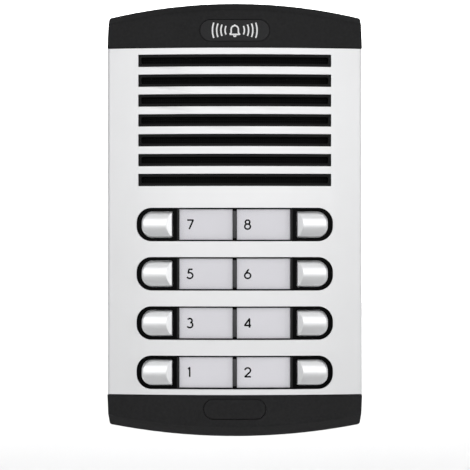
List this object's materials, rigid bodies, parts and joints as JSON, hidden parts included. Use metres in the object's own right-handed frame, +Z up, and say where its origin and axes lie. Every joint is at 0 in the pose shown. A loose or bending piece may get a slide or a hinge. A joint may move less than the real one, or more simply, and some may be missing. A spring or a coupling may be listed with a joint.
{
  "type": "door intercom panel",
  "caption": "Wall-mounted door station with a bowed aluminium face, slotted speech grille, rows of call buttons beside lit name cards, dark arched end caps and a hinged back box",
  "frame": {"origin": "centre of the back box's rear face on the wall plane, level with the middle of the aluminium face", "axes": "+Z up, the front faces -Y, +X to the right when looking at the front"},
  "size_m": [0.132, 0.0395, 0.2243],
  "materials": {
    "anodised_aluminium": "satin natural anodising",
    "basket_steel": "grey plated steel",
    "black_plastic": "satin",
    "board": "solder resist",
    "box_plastic": "fine grain",
    "brass": "turned",
    "button_plastic": "satin white",
    "cap_plastic": "fine satin grain",
    "card_paper": "matt white card",
    "clear_window": "clear polycarbonate",
    "ferrite": "ground ferrite",
    "foam": "matt rubber",
    "lead_black": "insulation",
    "lead_red": "insulation",
    "light_guide": "milky diffuser",
    "paper_cone": "coated paper",
    "screw_steel": "zinc plated",
    "speaker_cloth": "fine black acoustic cloth",
    "terminal_green": "moulded",
    "trimmer_blue": "moulded"
  },
  "bodies": {
    "back": {"back_box": "box_plastic", "wall_gasket": "foam", "cable_grommet": "foam", "lock_insert": "brass"},
    "cover": {"audio_board": "board", "audio_chips": "black_plastic", "badge": "cap_plastic", "bottom_cap": "cap_plastic", "button_board": "board", "cap_screws": "screw_steel", "capacitors": "black_plastic", "connectors": "card_paper", "face_profile": "anodised_aluminium", "grille_insert": "black_plastic", "label_lamps": "light_guide", "light_guides": "light_guide", "lock_screw": "screw_steel", "microphone": "basket_steel", "microphone_boot": "foam", "microphone_leads": "lead_black", "name_cards": "card_paper", "name_frame_1": "black_plastic", "name_frame_2": "black_plastic", "name_frame_3": "black_plastic", "name_frame_4": "black_plastic", "name_windows": "clear_window", "return_spring_1": "screw_steel", "return_spring_2": "screw_steel", "return_spring_3": "screw_steel", "return_spring_4": "screw_steel", "return_spring_5": "screw_steel", "return_spring_6": "screw_steel", "return_spring_7": "screw_steel", "return_spring_8": "screw_steel", "small_screws": "screw_steel", "speaker_basket": "basket_steel", "speaker_clamps": "basket_steel", "speaker_cloth": "speaker_cloth", "speaker_cone": "paper_cone", "speaker_gasket": "foam", "speaker_leads": "lead_red", "speaker_magnet": "ferrite", "speaker_tags": "board", "standoffs": "brass", "switches": "black_plastic", "terminal_block": "terminal_green", "terminal_screws": "screw_steel", "top_cap": "cap_plastic", "trimmer_bodies": "trimmer_blue"},
    "button_1": {"button_1": "button_plastic"},
    "button_2": {"button_2": "button_plastic"},
    "button_3": {"button_3": "button_plastic"},
    "button_4": {"button_4": "button_plastic"},
    "button_5": {"button_5": "button_plastic"},
    "button_6": {"button_6": "button_plastic"},
    "button_7": {"button_7": "button_plastic"},
    "button_8": {"button_8": "button_plastic"},
    "screw_cover": {"screw_cover": "cap_plastic"},
    "volume_rotor": {"volume_rotor": "card_paper"},
    "microphone_rotor": {"microphone_rotor": "card_paper"}
  },
  "joints": [
    {"name": "cover_hinge", "type": "hinge", "parent": "back", "child": "cover", "pos_m": [0, -0.006, 0.0975], "axis": [-1, 0, 0], "range_deg": [0, 30]},
    {"name": "button_1_press", "type": "slide", "parent": "cover", "child": "button_1", "axis": [0, 1, 0], "range_m": [0, 0.001], "stiffness_N_per_m": 1500, "springref_m": -0.0006, "deforming": ["return_spring_1"]},
    {"name": "button_2_press", "type": "slide", "parent": "cover", "child": "button_2", "axis": [0, 1, 0], "range_m": [0, 0.001], "stiffness_N_per_m": 1500, "springref_m": -0.0006, "deforming": ["return_spring_2"]},
    {"name": "button_3_press", "type": "slide", "parent": "cover", "child": "button_3", "axis": [0, 1, 0], "range_m": [0, 0.001], "stiffness_N_per_m": 1500, "springref_m": -0.0006, "deforming": ["return_spring_3"]},
    {"name": "button_4_press", "type": "slide", "parent": "cover", "child": "button_4", "axis": [0, 1, 0], "range_m": [0, 0.001], "stiffness_N_per_m": 1500, "springref_m": -0.0006, "deforming": ["return_spring_4"]},
    {"name": "button_5_press", "type": "slide", "parent": "cover", "child": "button_5", "axis": [0, 1, 0], "range_m": [0, 0.001], "stiffness_N_per_m": 1500, "springref_m": -0.0006, "deforming": ["return_spring_5"]},
    {"name": "button_6_press", "type": "slide", "parent": "cover", "child": "button_6", "axis": [0, 1, 0], "range_m": [0, 0.001], "stiffness_N_per_m": 1500, "springref_m": -0.0006, "deforming": ["return_spring_6"]},
    {"name": "button_7_press", "type": "slide", "parent": "cover", "child": "button_7", "axis": [0, 1, 0], "range_m": [0, 0.001], "stiffness_N_per_m": 1500, "springref_m": -0.0006, "deforming": ["return_spring_7"]},
    {"name": "button_8_press", "type": "slide", "parent": "cover", "child": "button_8", "axis": [0, 1, 0], "range_m": [0, 0.001], "stiffness_N_per_m": 1500, "springref_m": -0.0006, "deforming": ["return_spring_8"]},
    {"name": "screw_cover_pull", "type": "slide", "parent": "cover", "child": "screw_cover", "axis": [0, -1, 0], "range_m": [0, 0.01]},
    {"name": "volume_rotor_turn", "type": "hinge", "parent": "cover", "child": "volume_rotor", "pos_m": [-0.016, -0.0104, -0.033], "axis": [0, -1, 0], "range_deg": [-135, 135]},
    {"name": "microphone_rotor_turn", "type": "hinge", "parent": "cover", "child": "microphone_rotor", "pos_m": [-0.028, -0.0104, -0.033], "axis": [0, -1, 0], "range_deg": [-135, 135]}
  ]
}
